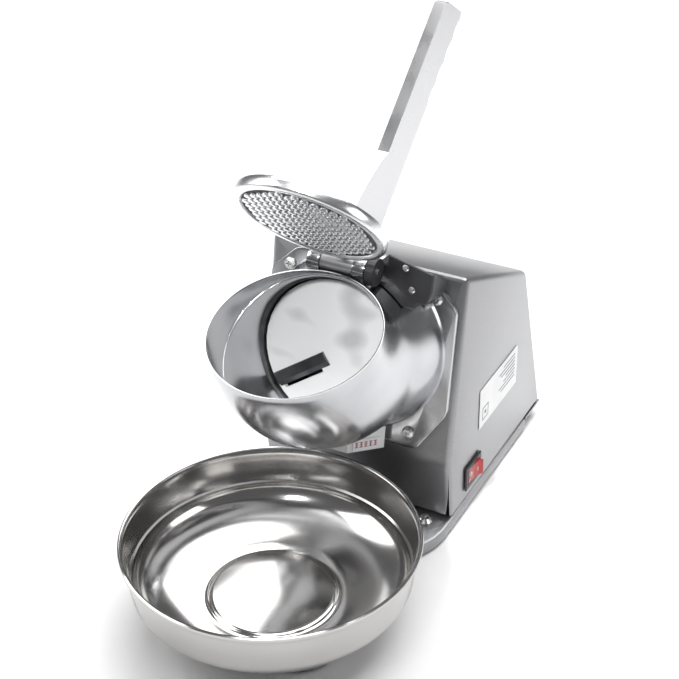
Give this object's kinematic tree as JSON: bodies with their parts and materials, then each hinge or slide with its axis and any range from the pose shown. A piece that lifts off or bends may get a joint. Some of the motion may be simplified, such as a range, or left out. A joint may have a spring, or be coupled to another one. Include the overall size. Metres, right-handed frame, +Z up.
{
  "type": "shaved ice machine",
  "caption": "Tabletop electric ice shaver with a tilting press lever, an elbow-shaped ice hopper, a spinning blade disc, a rocker switch and a loose serving bowl.",
  "frame": {"origin": "on the bench, under the middle of the machine's bounding box", "axes": "+Z up, -Y towards the user, where the bowl and hopper are; +X to the user's right as they face the machine, the side with the rocker switch"},
  "size_m": [0.21, 0.4156, 0.3565],
  "materials": {
    "silver_paint": "satin metallic",
    "polished_casting": "polished",
    "polished_plate": "polished",
    "steel": "ground",
    "mirror_steel": "mirror polished",
    "zinc_screw": "zinc plated",
    "white_moulding": "satin",
    "white_label": "printed film",
    "black_moulding": "satin",
    "red_moulding": "gloss",
    "grey_rubber": "matt",
    "motor_casting": "as cast",
    "core_steel": "varnished laminations"
  },
  "bodies": {
    "machine": {"base_platform": "silver_paint", "suction_foot_1": "grey_rubber", "suction_foot_2": "grey_rubber", "suction_foot_3": "grey_rubber", "suction_foot_4": "grey_rubber", "foot_screw_1": "zinc_screw", "foot_screw_2": "zinc_screw", "housing_shell": "silver_paint", "rear_cover": "silver_paint", "cover_screw_1": "zinc_screw", "cover_screw_2": "zinc_screw", "cover_screw_3": "zinc_screw", "cover_screw_4": "zinc_screw", "cord_inlet_gland": "black_moulding", "hopper": "polished_casting", "flange_screw_1": "zinc_screw", "flange_screw_2": "zinc_screw", "flange_screw_3": "zinc_screw", "flange_screw_4": "zinc_screw", "ice_chute": "white_moulding", "chute_label": "white_label", "rating_label": "white_label", "rocker_bezel": "black_moulding", "switch_case": "black_moulding", "case_screw_1": "zinc_screw", "case_screw_2": "zinc_screw", "microswitch": "black_moulding", "shaft_seal": "grey_rubber", "front_bearing": "steel", "rear_bearing": "steel", "motor_front_bell": "motor_casting", "motor_stator": "core_steel", "motor_rear_bell": "motor_casting", "motor_bolt_1": "zinc_screw", "motor_bolt_2": "zinc_screw", "motor_bolt_3": "zinc_screw", "motor_bolt_4": "zinc_screw", "motor_bracket": "silver_paint"},
    "lever": {"press_lever": "polished_plate", "press_plate": "polished_plate", "plate_screw_1": "zinc_screw", "plate_screw_2": "zinc_screw", "plate_screw_3": "zinc_screw", "plate_screw_4": "zinc_screw", "hinge_pin": "steel", "safety_cam": "black_moulding"},
    "cutter": {"blade_disc": "polished_plate", "blade": "steel", "blade_screw_1": "zinc_screw", "blade_screw_2": "zinc_screw", "drive_shaft": "steel", "motor_rotor": "core_steel", "cooling_fan": "black_moulding"},
    "rocker": {"switch_rocker": "red_moulding"},
    "plunger": {"switch_plunger": "black_moulding"},
    "bowl": {"serving_bowl": "mirror_steel"}
  },
  "joints": [
    {"name": "lever_hinge", "type": "hinge", "parent": "machine", "child": "lever", "pos_m": [0, 0.00552, 0.22404], "axis": [1, 0, 0], "range_deg": [0, 122]},
    {"name": "cutter_spin", "type": "hinge", "parent": "machine", "child": "cutter", "pos_m": [0, 0.03815, 0.14823], "axis": [0, -0.9848, 0.1736], "continuous": true},
    {"name": "rocker_tilt", "type": "hinge", "parent": "machine", "child": "rocker", "pos_m": [0.0775, 0.0658, 0.034], "axis": [0, 0, 1], "range_deg": [0, 14]},
    {"name": "plunger_slide", "type": "slide", "parent": "machine", "child": "plunger", "axis": [0, 0.9848, -0.1736], "range_m": [0, 0.001]},
    {"name": "bowl_slide", "type": "slide", "parent": "machine", "child": "bowl", "axis": [0, -1, 0], "range_m": [0, 0.13]}
  ],
  "couplings": [
    {"joint": "plunger_slide", "follows": "lever_hinge", "m_per_rad": 0.00046963}
  ]
}
